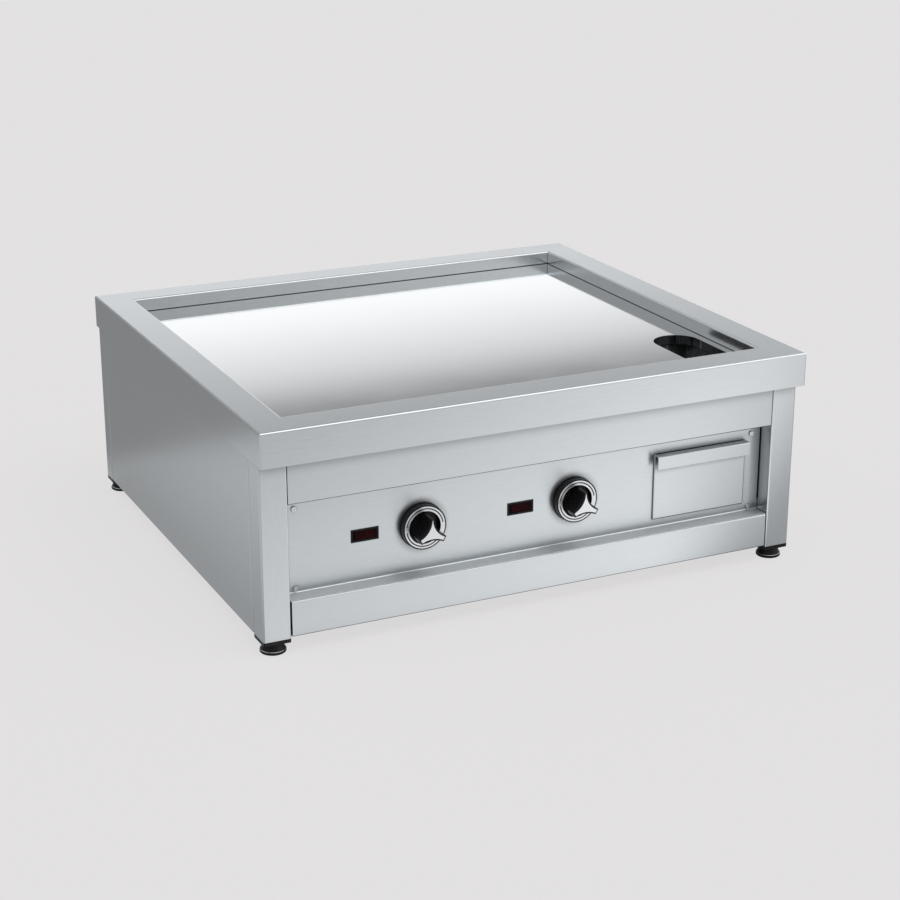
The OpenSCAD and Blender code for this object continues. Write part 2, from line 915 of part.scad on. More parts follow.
// Channel beside the tray: foot on the base panel, shelf under the tray, lip over its rim
module drawer_runner() {
    in = tray_w / 2 + runner_gap;
    out = in + runner_wall;
    shelf = tray_floor - runner_gap;
    lip = tray_floor + tray_h + runner_gap;
    translate([0, runner_back, 0]) rotate([90, 0, 0])
    linear_extrude(runner_back - runner_front)
    polygon([
        [out, base_top], [out, lip + runner_wall], [in - runner_flange / 2, lip + runner_wall],
        [in - runner_flange / 2, lip], [in, lip], [in, shelf], [in - runner_flange, shelf],
        [in - runner_flange, shelf - runner_wall], [in, shelf - runner_wall], [in, base_top + runner_wall],
        [in - runner_flange, base_top + runner_wall], [in - runner_flange, base_top],
    ]);
}

module drawer_runners() {
    color(bare_steel)
    translate([drawer_x, 0, 0])
        for (s = [0, 1]) mirror([s, 0, 0]) drawer_runner();
}

module drain_chute() {
    t = chute_sheet;
    outline = [
        [chute_left, chute_top], [chute_right, chute_top],
        [chute_low_right, chute_low], [chute_low_left, chute_low],
    ];
    outer = [
        [chute_left - t, chute_top], [chute_right + t, chute_top],
        [chute_low_right + t, chute_low], [chute_low_left - t, chute_low],
    ];
    f = t + chute_flange;
    color(steel)
    difference() {
        union() {
            translate([0, chute_back + t, 0]) rotate([90, 0, 0])
                linear_extrude(chute_back - chute_front + 2 * t) polygon(outer);
            box(
                [chute_left - f, chute_front - chute_flange, chute_top - t],
                [chute_right + t, chute_back + f, chute_top]
            );
        }
        translate([0, chute_back, 0]) rotate([90, 0, 0])
            linear_extrude(chute_back - chute_front) polygon(outline);
        box([chute_left, chute_front, chute_top - 2 * t], [chute_right, chute_back, chute_top + through]);
        box(
            [chute_low_left, chute_front, chute_low - through],
            [chute_low_right, chute_back, chute_low + t / 2]
        );
    }
}

// ---- Heating ----

module heating_element(i) {
    first = -(tube_runs - 1) / 2 * tube_pitch;
    color(element_grey)
    translate([zone_x[i], 0, tube_z]) {
        for (k = [0 : tube_runs - 1]) {
            start = (k == 0 || k == tube_runs - 1) ? tube_end : tube_front;
            rod_y(first + k * tube_pitch, start, 0, tube_back - start, tube_r);
        }
        // bends: behind for each even run, in front for each odd one
        for (k = [0 : tube_runs - 2])
            translate([first + (k + 0.5) * tube_pitch, k % 2 == 0 ? tube_back : tube_front, 0])
                rotate([0, 0, k % 2 == 0 ? 0 : 180])
                    rotate_extrude(angle = 180) translate([tube_pitch / 2, 0]) circle(tube_r);
        for (s = [-1, 1])
            rod_y(s * first, tube_end - pin_l, 0, pin_l + through, pin_r);
    }
}

// Places of the clamp bolts, two to each bar
function clamp_bolts() = [for (x = zone_x, s = [-1, 1], y = clamp_y) [x + s * tube_pitch, y]];

module element_clamps() {
    color(bare_steel)
    difference() {
        for (x = zone_x, y = clamp_y)
            translate([x, y, clamp_z + clamp_size.z / 2]) cube(clamp_size, center = true);
        for (p = clamp_bolts())
            translate([each p, clamp_z - through])
                cylinder(h = clamp_size.z + 2 * through, r = clamp_bolt_r + clamp_fit);
    }
}

module clamp_studs() {
    color(bare_steel)
    for (p = clamp_bolts())
        translate([each p, clamp_bolt_z]) cylinder(h = plate_base - clamp_bolt_z, r = clamp_bolt_r);
}

module clamp_nuts() {
    color(bare_steel)
    for (p = clamp_bolts())
        translate([each p, clamp_z - nut_h])
        difference() {
            cylinder(h = nut_h, r = nut_r, $fn = 6);
            translate([0, 0, -through]) cylinder(h = nut_h + 2 * through, r = clamp_bolt_r + 0.05);
        }
}

// Sensing bulbs under the plate, each with a capillary down to the top of its thermostat
module temperature_probes() {
    bulb_z = plate_base - probe_r - below_plate;
    stat_top = knob_z + thermostat_size.z / 2;
    run_z = stat_top + 8;
    color(silver)
    for (i = [0, 1]) {
        bulb_x = zone_x[i];
        rod_y(bulb_x, probe_y, bulb_z, probe_l, probe_r);
        wire_run([
            [bulb_x, probe_y + through, bulb_z], [bulb_x, capillary_y, bulb_z], [bulb_x, capillary_y, run_z],
            [knob_x[i], capillary_y, run_z], [knob_x[i], capillary_y, stat_top],
        ], capillary_r);
    }
}

// Outline of the insulated area, cut away round the chute; inset pulls every side in
module hot_outline(inset) {
    x = shield_x - inset;
    y0 = shield_front + inset;
    y1 = shield_back - inset;
    polygon([
        [-x, y0], [notch_x - inset, y0], [notch_x - inset, notch_y + inset], [x, notch_y + inset],
        [x, y1], [-x, y1],
    ]);
}

module heat_shield() {
    color(bare_steel)
    translate([0, 0, shield_z])
    difference() {
        linear_extrude(shield_upstand) hot_outline(0);
        translate([0, 0, shield_t]) linear_extrude(shield_upstand) hot_outline(shield_t);
    }
}

module insulation_blanket() {
    color(wool)
    translate([0, 0, shield_z + shield_t]) linear_extrude(blanket_t) hot_outline(shield_t + 1);
}

// ---- Electrics ----

module limit_thermostat() {
    color(cream)
    translate([each limiter_at, base_top])
    difference() {
        translate([-limiter_size.x / 2, -limiter_size.y / 2, 0]) cube(limiter_size);
        translate([0, 0, -through])
            cylinder(h = button_in + button_room + through, r = button_r + button_fit);
    }
}

module reset_button() {
    color(dark_red)
    translate([each limiter_at, base_top - button_out])
        cylinder(h = button_out + button_in, r = button_r);
}

module terminal_block() {
    size = terminal_size;
    way = size.x / terminal_ways;
    color(cream)
    translate([each terminal_at, base_top])
    difference() {
        translate([-size.x / 2, -size.y / 2, 0]) cube(size);
        for (i = [0 : terminal_ways - 1]) {
            x = (i + 0.5) * way - size.x / 2;
            translate([x, 0, size.z - terminal_screw_h])
                cylinder(h = terminal_screw_h + through, r = terminal_screw_r);
            translate([x - way / 4, -size.y / 2 - through, terminal_hole_z])
                cube([way / 2, terminal_hole_l + through, way / 2]);
        }
    }
}

// Supply wires along the base to the thermostats, and leads from there up and over to the elements
module wiring_loom() {
    block = terminal_at - [0, terminal_size.y / 2];
    block_z = base_top + terminal_size.z / 2;
    drop_y = block.y - 12;
    stat_z = knob_z - thermostat_size.z / 5;
    reach = (tube_runs - 1) / 2 * tube_pitch;
    color(black)
    union() {
        wire_run([
            [each block, block_z], [block.x, drop_y, block_z], [block.x, drop_y, loom_z],
            [block.x, loom_y, loom_z], [knob_x[1], loom_y, loom_z],
        ], wire_r);
        for (x = knob_x) {
            wire_run([[x, loom_y, loom_z], [x, loom_y, stat_z], [x, thermostat_back, stat_z]], wire_r);
            translate([x, loom_y, loom_z]) sphere(wire_r + bead);
        }
        for (i = [0, 1], s = [-1, 1]) {
            x = zone_x[i] + s * reach;
            wire_run([
                [knob_x[i], loom_y, stat_z], [knob_x[i], loom_y, lead_z], [x, loom_y, lead_z],
                [x, lead_y, lead_z], [x, lead_y, tube_z], [x, tube_end - pin_l, tube_z],
            ], lead_r);
        }
    }
}

// Gland screwed into the rear panel, open right through for the supply cable
module cable_gland() {
    inner_end = rear_y - panel_sheet - gland_in;
    color(black)
    difference() {
        union() {
            rod_y(gland_x, inner_end, gland_z, rear_y - inner_end + gland_hex_t, gland_thread_r);
            rod_y(gland_x, rear_y, gland_z, gland_hex_t, gland_hex_r, 6);
            rod_y(gland_x, rear_y, gland_z, gland_out, gland_dome_r);
            rod_y(gland_x, rear_y - panel_sheet - gland_hex_t, gland_z, gland_hex_t, gland_hex_r, 6);
        }
        rod_y(
            gland_x, inner_end - through, gland_z,
            rear_y + gland_out - inner_end + 2 * through, gland_bore_r
        );
    }
}

module bonding_stud() {
    color([0.80, 0.66, 0.34])
    union() {
        rod_y(stud_x, rear_y - panel_sheet - bond_in, stud_z, bond_in + panel_sheet + bond_out, bond_r);
        rod_y(stud_x, rear_y, stud_z, bond_flange_t, bond_flange_r);
        rod_y(stud_x, rear_y - panel_sheet - nut_h, stud_z, nut_h, nut_r, 6);
    }
}

// Pan-head screw along +Z, its head below z = 0 and its shank above
module panel_screw() {
    cylinder(h = screw_l, r = screw_r);
    difference() {
        translate([0, 0, -screw_head_h]) cylinder(h = screw_head_h, r = screw_head_r);
        translate([0, 0, -screw_head_h - through])
            cylinder(h = screw_socket + through, r = screw_socket_r, $fn = 6);
    }
}

// Four screws in the control panel, six in the rear panel and three up through the kick plate's return
module panel_screws() {
    color(silver)
    union() {
        for (s = [-1, 1], z = [screw_top_z, screw_low_z])
            translate([s * (leg_inner - screw_inset), panel_y, z]) rotate([-90, 0, 0]) panel_screw();
        for (x = rear_screw_x, z = [rear_screw_low_z, rear_screw_top_z])
            translate([x, rear_y, z]) rotate([90, 0, 0]) panel_screw();
        for (x = rear_screw_x)
            translate([x, lap_screw_y, kick_z]) panel_screw();
    }
}

// ---- Drawing ----

top_frame();
griddle_plate();
plate_seal();
plate_support_frame();
front_fascia();
control_panel();
kick_plate();
left_side_panel();
right_side_panel();
rear_panel();
base_panel();
leg(-1, -1);  // front_left_leg
leg(1, -1);  // front_right_leg
leg(-1, 1);  // rear_left_leg
leg(1, 1);  // rear_right_leg
leg_cap(-1, -1);  // front_left_leg_cap
leg_cap(1, -1);  // front_right_leg_cap
leg_cap(-1, 1);  // rear_left_leg_cap
leg_cap(1, 1);  // rear_right_leg_cap
foot_pad(-1, -1);  // front_left_foot_pad
foot_pad(1, -1);  // front_right_foot_pad
foot_pad(-1, 1);  // rear_left_foot_pad
foot_pad(1, 1);  // rear_right_foot_pad
foot_stud(-1, -1);  // front_left_foot_stud
foot_stud(1, -1);  // front_right_foot_stud
foot_stud(-1, 1);  // rear_left_foot_stud
foot_stud(1, 1);  // rear_right_foot_stud
knob(0);  // left_knob
knob(1);  // right_knob
knob_insert(0);  // left_knob_insert
knob_insert(1);  // right_knob_insert
knob_bezel(0);  // left_knob_bezel
knob_bezel(1);  // right_knob_bezel
scale_ring(0);  // left_scale_ring
scale_ring(1);  // right_scale_ring
thermostat(0);  // left_thermostat
thermostat(1);  // right_thermostat
thermostat_shaft(0);  // left_thermostat_shaft
thermostat_shaft(1);  // right_thermostat_shaft
display_windows();
display_modules();
panel_screws();
drawer_front();
drawer_tray();
drawer_runners();
drain_chute();
heating_element(0);  // left_heating_element
heating_element(1);  // right_heating_element
element_clamps();
clamp_studs();
clamp_nuts();
temperature_probes();
insulation_blanket();
heat_shield();
limit_thermostat();
reset_button();
terminal_block();
wiring_loom();
cable_gland();
bonding_stud();
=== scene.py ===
"""Looks of a two-zone flat top griddle: finishes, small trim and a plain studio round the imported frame."""

import json
import math
from collections import namedtuple

import bmesh
import bpy
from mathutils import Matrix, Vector


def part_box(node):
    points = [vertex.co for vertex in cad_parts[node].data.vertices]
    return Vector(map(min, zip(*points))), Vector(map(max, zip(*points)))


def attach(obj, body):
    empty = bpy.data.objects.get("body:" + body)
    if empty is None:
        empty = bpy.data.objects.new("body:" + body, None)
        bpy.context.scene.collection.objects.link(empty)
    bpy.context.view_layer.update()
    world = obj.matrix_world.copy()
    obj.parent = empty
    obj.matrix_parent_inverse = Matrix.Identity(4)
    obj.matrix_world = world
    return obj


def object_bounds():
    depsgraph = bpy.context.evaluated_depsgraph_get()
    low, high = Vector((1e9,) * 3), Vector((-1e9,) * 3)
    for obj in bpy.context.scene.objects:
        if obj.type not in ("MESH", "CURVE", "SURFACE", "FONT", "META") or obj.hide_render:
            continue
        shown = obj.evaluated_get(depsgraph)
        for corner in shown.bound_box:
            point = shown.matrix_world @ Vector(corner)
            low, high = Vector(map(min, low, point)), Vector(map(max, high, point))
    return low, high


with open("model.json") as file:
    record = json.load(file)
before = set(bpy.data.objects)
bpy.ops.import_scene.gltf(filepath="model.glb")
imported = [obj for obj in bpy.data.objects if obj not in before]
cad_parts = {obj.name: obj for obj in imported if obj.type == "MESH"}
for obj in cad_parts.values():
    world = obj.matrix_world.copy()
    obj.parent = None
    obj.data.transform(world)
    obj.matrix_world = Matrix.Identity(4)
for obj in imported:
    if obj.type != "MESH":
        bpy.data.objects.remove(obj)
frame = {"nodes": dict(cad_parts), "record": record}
CAD_LO, CAD_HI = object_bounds()
MM = 0.001

# ---- Shader nodes ----


def add(tree, kind, inputs=None, **settings):
    """A new node. inputs maps a socket's name or number to a value, or to another node's socket."""
    made = tree.nodes.new("ShaderNode" + kind)
    for name, value in settings.items():
        setattr(made, name, value)
    for key, value in (inputs or {}).items():
        if isinstance(value, bpy.types.NodeSocket):
            tree.links.new(value, made.inputs[key])
        else:
            made.inputs[key].default_value = value
    return made


def math_node(tree, operation, a, b=0.0):
    return add(tree, "Math", {0: a, 1: b}, operation=operation).outputs[0]


def remap(tree, value, lo, hi, source=(0.3, 0.7)):
    """value, which runs over source, spread over lo to hi and held there."""
    made = add(tree, "MapRange", {0: value, 1: source[0], 2: source[1], 3: lo, 4: hi})
    return made.outputs[0]


def weighted_sum(tree, terms, start=0.0):
    """start plus each (value, weight) of terms."""
    total = None
    for value, weight in terms:
        part = math_node(tree, "MULTIPLY", value, weight)
        total = math_node(tree, "ADD", part, start if total is None else total)
    return total


def mix_values(tree, share, low, high):
    """Number between low and high at a share of the way."""
    return add(tree, "Mix", {0: share, 2: low, 3: high}, data_type="FLOAT").outputs[0]


def smooth(tree, value, start, end):
    """0 at start, 1 at end, eased between the two."""
    made = add(tree, "MapRange", {0: value, 1: start, 2: end, 3: 0, 4: 1}, interpolation_type="SMOOTHSTEP")
    return made.outputs[0]


def darken(tree, color, factor):
    """A colour times a number."""
    made = add(tree, "VectorMath", {0: color}, operation="SCALE")
    tree.links.new(factor, made.inputs["Scale"])
    return made.outputs[0]


def position(tree):
    """The place on the object, in metres."""
    return add(tree, "TexCoord").outputs["Object"]


def noise(tree, place, cell, detail=2.0, roughness=0.5):
    """Noise whose cells measure cell = (x, y, z) metres."""
    scaled = add(tree, "Mapping", {"Vector": place, "Scale": [1 / c for c in cell]}).outputs[0]
    made = add(tree, "TexNoise", {"Vector": scaled, "Scale": 1.0, "Detail": detail, "Roughness": roughness})
    return made.outputs[0]


def blend_colors(tree, share, low, high):
    """The colour between low and high at a share of the way."""
    made = add(tree, "Mix", data_type="RGBA")
    factor, a, b = made.inputs[0], made.inputs[6], made.inputs[7]
    tree.links.new(share, factor)
    a.default_value = (*low, 1)
    b.default_value = (*high, 1)
    return made.outputs[2]


def new_material(name, specular=0.5, metallic=0.0):
    """(material, its tree, its Principled shader)."""
    material = bpy.data.materials.new(name)
    material.use_nodes = True
    tree = material.node_tree
    tree.nodes.clear()
    shader = add(tree, "BsdfPrincipled")
    shader.inputs["Metallic"].default_value = metallic
    shader.inputs["Specular IOR Level"].default_value = specular
    out = add(tree, "OutputMaterial")
    tree.links.new(shader.outputs[0], out.inputs[0])
    return material, tree, shader


def finish(tree, shader, color, roughness, height, depth, strength=1.0):
    """Wires a colour, a roughness and a bump of the given depth, in metres, into the shader."""
    bump = add(tree, "Bump", {"Height": height, "Distance": depth, "Strength": strength})
    tree.links.new(color, shader.inputs["Base Color"])
    tree.links.new(roughness, shader.inputs["Roughness"])
    tree.links.new(bump.outputs[0], shader.inputs["Normal"])


def shade(color, factor):
    return [min(1.0, c * factor) for c in color]


# ---- Painted shade: how far each face is closed in by others, as a darkening factor on its colour ----

# reach: how far off another face still counts. low: the factor at the worst. span: the shares of open sky
# that the factor fades over.
PaintedShade = namedtuple("PaintedShade", "reach low span")
# Painted shade in seams, along edges and lines, in corners, below the drawer's lip and under overhangs
SEAM_PAINTED_SHADE = PaintedShade(2.5 * MM, 0.45, (0.45, 0.85))
EDGE_PAINTED_SHADE = PaintedShade(6 * MM, 0.50, (0.50, 0.92))
LINE_PAINTED_SHADE = PaintedShade(9.5 * MM, 0.50, (0.86, 0.97))
CORNER_PAINTED_SHADE = PaintedShade(13 * MM, 0.66, (0.70, 0.97))
LIP_PAINTED_SHADE = PaintedShade(16 * MM, 0.45, (0.86, 0.99))
OVERHANG_PAINTED_SHADOW = PaintedShade(26 * MM, 0.45, (0.64, 0.92))
SKY_SAMPLES = 8
UNDERSIDE_PAINTED_SHADE = 0.22
LEG_INNER_PAINTED_SHADE = 0.45
PANEL_SILL_PAINTED_SHADE = 0.76
LIP_TOP_PAINTED_SHADE = 0.95
PAINTED_BEND_HIGHLIGHT = 1.15
SILL_ROUGHNESS = 0.62
LEVEL_FACE = (0.85, 0.97)   # tilts between which a face comes to count as a level top


def crevice(tree, painted_shade):
    """Painted shade: 1 on open faces, down to its low where other faces within reach leave little of the sky.
    """
    sky = add(tree, "AmbientOcclusion", {"Distance": painted_shade.reach}, samples=SKY_SAMPLES).outputs["AO"]
    return remap(tree, sky, painted_shade.low, 1.0, painted_shade.span)


def normal_parts(tree):
    """The x, y and z of a face's normal."""
    return add(tree, "SeparateXYZ", {0: add(tree, "NewGeometry").outputs["Normal"]}).outputs


def tilt(tree):
    """How far a face looks up: 1 for a level top, 0 for an upright face, -1 for an underside."""
    return normal_parts(tree)[2]


def underside(tree, low):
    """Painted shade: 1 on faces that look up or sideways, down to low on those that look at the floor."""
    return mix_values(tree, smooth(tree, tilt(tree), -0.08, -0.40), 1.0, low)


def inner_face(tree, factor, low):
    """Painted shade: factor, but low all over the upright faces that look in towards the middle of the
    object.
    """
    x = add(tree, "SeparateXYZ", {0: position(tree)}).outputs[0]
    outward = math_node(tree, "MULTIPLY", normal_parts(tree)[0], math_node(tree, "SIGN", x))
    return mix_values(tree, smooth(tree, outward, -0.5, -0.9), factor, low)


def sill(tree, factor, low):
    """Painted shade and highlight: factor, but low on level tops, and bright on the bends that lead to them.
    """
    up = tilt(tree)
    bend = math_node(tree, "MULTIPLY", smooth(tree, up, 0.08, 0.25), smooth(tree, up, 0.95, 0.80))
    on_sill = mix_values(tree, smooth(tree, up, *LEVEL_FACE), factor, low)
    return mix_values(tree, bend, on_sill, PAINTED_BEND_HIGHLIGHT)


# ---- Finishes ----


def middle_of(node):
    lo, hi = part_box(node)
    return (lo + hi) / 2


knob_axes = [middle_of("left_knob_bezel"), middle_of("right_knob_bezel")]

STEEL = (0.79, 0.82, 0.84)
GRAIN_CELL = 0.3 * MM
GRAIN_LENGTH = 14 * MM
GRAIN_DEPTH = 0.003 * MM
STREAK_CELL = 1.2 * MM
STREAK_LENGTH = 30 * MM
AXES = "xyz"
GROOVE_DEPTH = 0.4 * MM     # past this depth the scale ring is painted
BOWL_MARGIN = 5.5 * MM      # the ring inside this margin is bowl, which stays silver
PAINT_BLACK = (0.012, 0.012, 0.013, 1)
RINGS_PER_METRE = 2500.0
WINDOW_BORDER = 0.8 * MM
WINDOW_BORDER_LEFT = 3.5 * MM


def grain_cell(axis, width, length):
    return [length if name == axis else width for name in AXES]


def steel_pattern(tree, place, axis):
    """(fine grain, broad streaks) of brushing along one axis."""
    fine = noise(tree, place, grain_cell(axis, GRAIN_CELL, GRAIN_LENGTH), 2.0, 0.6)
    broad = noise(tree, place, grain_cell(axis, STREAK_CELL, STREAK_LENGTH), 3.0, 0.6)
    return fine, broad


def rim_pattern(tree, place):
    """Brushing that turns at each corner of the top frame, along the rim it lies on."""
    x, y, _ = add(tree, "SeparateXYZ", {0: place}).outputs
    middle = (CAD_LO + CAD_HI) / 2
    half = (CAD_HI - CAD_LO) / 2
    off_x = math_node(tree, "ABSOLUTE", math_node(tree, "SUBTRACT", x, middle.x))
    off_y = math_node(tree, "ABSOLUTE", math_node(tree, "SUBTRACT", y, middle.y))
    to_side = math_node(tree, "SUBTRACT", half.x, off_x)
    to_end = math_node(tree, "SUBTRACT", half.y, off_y)
    on_side = math_node(tree, "LESS_THAN", to_side, to_end)
    pairs = zip(steel_pattern(tree, place, "x"), steel_pattern(tree, place, "y"))
    return [mix_values(tree, on_side, a, b) for a, b in pairs]


def brushed_steel(
    name, axis, color=STEEL, base=0.22, contrast=0.035, spread=0.0, painted_shades=(), sill_painted_shade=None, inner_painted_shade=None
):
    """Satin stainless steel brushed along an axis, or along each rim of the top frame for axis "rim".

    base is its roughness and contrast how far its grain strays from its colour. spread, from 0 to 1, is how
    much wider its gloss is across the grain than along it. The last three arguments paint shade into its
    colour:
    where it meets or lies behind other parts, on level tops with a painted highlight on the bends that lead
    to them, and on faces that look inwards.
    """
    material, tree, shader = new_material(name, metallic=1.0)
    place = position(tree)
    fine, broad = rim_pattern(tree, place) if axis == "rim" else steel_pattern(tree, place, axis)
    patches = noise(tree, place, (90 * MM,) * 3, 3.0, 0.55)
    tone = weighted_sum(tree, [(fine, 0.6), (broad, 0.4)])
    shade_color = blend_colors(
        tree, remap(tree, tone, 0, 1, (0.35, 0.65)), shade(color, 1 - contrast), shade(color, 1 + contrast)
    )
    # Painted shade on undersides, in crevices, on level tops and on inward faces, with a painted highlight on
    # bends
    factor = underside(tree, UNDERSIDE_PAINTED_SHADE)
    for painted_shade in painted_shades:
        factor = math_node(tree, "MULTIPLY", factor, crevice(tree, painted_shade))
    if sill_painted_shade:
        factor = sill(tree, factor, sill_painted_shade)
    if inner_painted_shade:
        factor = inner_face(tree, factor, inner_painted_shade)
    shade_color = darken(tree, shade_color, factor)
    rough = weighted_sum(tree, [(fine, 0.05), (patches, 0.03)], base - 0.04)
    if sill_painted_shade:
        rough = mix_values(tree, smooth(tree, tilt(tree), *LEVEL_FACE), rough, SILL_ROUGHNESS)
    finish(tree, shader, shade_color, rough, fine, GRAIN_DEPTH)
    if spread:
        shader.inputs["Anisotropic"].default_value = spread
        shader.inputs["Anisotropic Rotation"].default_value = 0.25
        along = [float(axis == other) for other in AXES]
        tree.links.new(add(tree, "CombineXYZ", dict(enumerate(along))).outputs[0], shader.inputs["Tangent"])
    return material


def polished_plate():
    """Mirror polish with a breath of haze and hairline scratches from the scraper."""
    material, tree, shader = new_material("polished_plate", metallic=1.0)
    place = position(tree)
    haze = noise(tree, place, (140 * MM,) * 3, 4.0, 0.6)
    scratches = noise(tree, place, (90 * MM, 0.5 * MM, 1.0), 4.0, 0.7)
    color = blend_colors(tree, remap(tree, haze, 0, 1), (0.90, 0.91, 0.915), (0.94, 0.95, 0.955))
    hazy = remap(tree, haze, 0.035, 0.065)
    scored = remap(tree, scratches, 0.0, 0.02, (0.55, 0.75))
    rough = math_node(tree, "ADD", hazy, scored)
    finish(tree, shader, color, rough, scratches, 0.001 * MM)
    return material


def moulded_plastic(name, color, base=0.22, grain=0.25, specular=0.5):
    """Moulded plastic with a fine pebble and small changes of gloss."""
    material, tree, shader = new_material(name, specular)
    place = position(tree)
    pebble = noise(tree, place, (grain * MM,) * 3, 2.0)
    wear = noise(tree, place, (7 * MM,) * 3, 4.0, 0.6)
    shade_color = blend_colors(tree, remap(tree, wear, 0, 1), shade(color, 0.8), shade(color, 1.3))
    finish(tree, shader, shade_color, remap(tree, wear, base - 0.05, base + 0.07), pebble, 0.006 * MM)
    return material


def turned_metal(name, color, centres, base=0.2):
    """Bright metal turned about the nearest of some axes along Y, with its fine rings.

    Gives (material, its tree, its shader, distance from the axis, colour).
    """
    material, tree, shader = new_material(name, metallic=1.0)
    place = position(tree)
    x, _, z = add(tree, "SeparateXYZ", {0: place}).outputs
    radii = []
    for centre in centres:
        dx = math_node(tree, "SUBTRACT", x, centre.x)
        dz = math_node(tree, "SUBTRACT", z, centre.z)
        off_axis = add(tree, "CombineXYZ", {0: dx, 1: dz}).outputs[0]
        radii.append(add(tree, "VectorMath", {0: off_axis}, operation="LENGTH").outputs["Value"])
    radius = radii[0]
    for other in radii[1:]:
        radius = math_node(tree, "MINIMUM", radius, other)
    along = math_node(tree, "MULTIPLY", radius, RINGS_PER_METRE)
    rings = add(tree, "TexNoise", {"W": along, "Scale": 1.0, "Detail": 2.0}, noise_dimensions="1D").outputs[0]
    shade_color = blend_colors(tree, remap(tree, rings, 0, 1), shade(color, 0.94), shade(color, 1.04))
    finish(tree, shader, shade_color, remap(tree, rings, base - 0.04, base + 0.06), rings, 0.004 * MM)
    return material, tree, shader, radius, shade_color


def scale_ring():
    """Turned silver ring whose sunk scale grooves are filled with black paint."""
    boxes = [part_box("left_scale_ring"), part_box("right_scale_ring")]
    centres = [(lo + hi) / 2 for lo, hi in boxes]
    made = turned_metal("scale_ring", (0.88, 0.89, 0.90), centres, 0.32)
    material, tree, shader, radius, silver = made
    lo, hi = boxes[0]
    outer = (hi.x - lo.x) / 2
    _, y, _ = add(tree, "SeparateXYZ", {0: position(tree)}).outputs
    sunk = math_node(tree, "GREATER_THAN", y, lo.y + GROOVE_DEPTH)
    clear_of_bowl = math_node(tree, "GREATER_THAN", radius, outer - BOWL_MARGIN)
    painted = math_node(tree, "MULTIPLY", sunk, clear_of_bowl)
    color = add(tree, "Mix", {0: painted, 6: silver, 7: PAINT_BLACK}, data_type="RGBA").outputs[2]
    tree.links.new(color, shader.inputs["Base Color"])
    return material


def smoked_window():
    """Dark red filter of a display with a black border, clouded and a little dusty."""
    material, tree, shader = new_material("smoked_window", specular=0.05)
    place = position(tree)
    cloud = noise(tree, place, (9 * MM,) * 3, 3.0)
    dust = noise(tree, place, (0.4 * MM,) * 3, 2.0)
    red = blend_colors(tree, remap(tree, cloud, 0, 1), (0.010, 0.0008, 0.0012), (0.026, 0.0022, 0.003))
    lo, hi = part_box("display_windows")
    x, _, z = add(tree, "SeparateXYZ", {0: place}).outputs
    spacing = knob_axes[1].x - knob_axes[0].x
    along = math_node(tree, "MODULO", math_node(tree, "SUBTRACT", x, lo.x), spacing)
    width = hi.x - lo.x - spacing
    inside = [
        smooth(tree, along, WINDOW_BORDER_LEFT, WINDOW_BORDER_LEFT + MM),
        smooth(tree, along, width - WINDOW_BORDER, width - WINDOW_BORDER - MM),
        smooth(tree, z, lo.z + WINDOW_BORDER, lo.z + WINDOW_BORDER + MM),
        smooth(tree, z, hi.z - WINDOW_BORDER, hi.z - WINDOW_BORDER - MM),
    ]
    share = inside[0]
    for other in inside[1:]:
        share = math_node(tree, "MULTIPLY", share, other)
    color = darken(tree, red, mix_values(tree, share, 0.15, 1.0))
    finish(tree, shader, color, remap(tree, dust, 0.22, 0.32), dust, 0.002 * MM)
    return material


def speckled(name, color, dark, base, cell, depth, metallic=0.0):
    """Granular finish, such as rubber, ceramic, wool or plating: two colours in speckles over a soft bump."""
    material, tree, shader = new_material(name, metallic=metallic)
    place = position(tree)
    grains = noise(tree, place, (cell * MM,) * 3, 4.0, 0.65)
    clouds = noise(tree, place, (cell * 20 * MM,) * 3, 3.0)
    mixed = weighted_sum(tree, [(grains, 0.6), (clouds, 0.4)])
    shade_color = blend_colors(tree, remap(tree, mixed, 0, 1, (0.35, 0.65)), dark, color)
    finish(tree, shader, shade_color, remap(tree, grains, base - 0.08, base + 0.08), grains, depth * MM)
    return material


def enamel_with_painted_streak_highlights():
    """Black enamel with lighter upright streaks painted on as highlights of the chute's wall."""
    material, tree, shader = new_material("enamel_with_painted_streak_highlights", specular=0.4)
    place = position(tree)
    highlight_streaks = noise(tree, place, (7 * MM, 7 * MM, 600 * MM), 3.0, 0.6)
    grit = noise(tree, place, (1.5 * MM,) * 3, 3.0)
    share = remap(tree, highlight_streaks, 0, 1, (0.60, 0.72))
    color = blend_colors(tree, share, (0.050, 0.052, 0.055), (0.30, 0.31, 0.32))
    finish(tree, shader, color, remap(tree, highlight_streaks, 0.22, 0.40), grit, 0.02 * MM)
    return material


def front_steel(name, painted_shades=(), sill_painted_shade=None):
    """The wide brushed sheets of the front, whose gloss spreads upwards and downwards."""
    return brushed_steel(name, "x", base=0.32, spread=0.7, painted_shades=painted_shades, sill_painted_shade=sill_painted_shade)


# Painted shade: in corners and seams, below the drawer's lip and on its top, on the panel's sill, under the
# skirt, along edges, and on the legs' inner faces
steel_x = front_steel("steel_along_x", (CORNER_PAINTED_SHADE, SEAM_PAINTED_SHADE))
drawer_steel = front_steel("drawer_steel", (LIP_PAINTED_SHADE,), LIP_TOP_PAINTED_SHADE)
open_steel = front_steel("open_steel")
panel_steel = front_steel("panel_steel", (CORNER_PAINTED_SHADE, SEAM_PAINTED_SHADE), PANEL_SILL_PAINTED_SHADE)
fascia_steel = front_steel("fascia_steel", (OVERHANG_PAINTED_SHADOW, LINE_PAINTED_SHADE, SEAM_PAINTED_SHADE))
steel_y = brushed_steel("steel_along_y", "y", base=0.25, spread=0.3, painted_shades=(EDGE_PAINTED_SHADE,))
steel_z = brushed_steel("steel_along_z", "z", painted_shades=(OVERHANG_PAINTED_SHADOW, EDGE_PAINTED_SHADE), inner_painted_shade=LEG_INNER_PAINTED_SHADE)
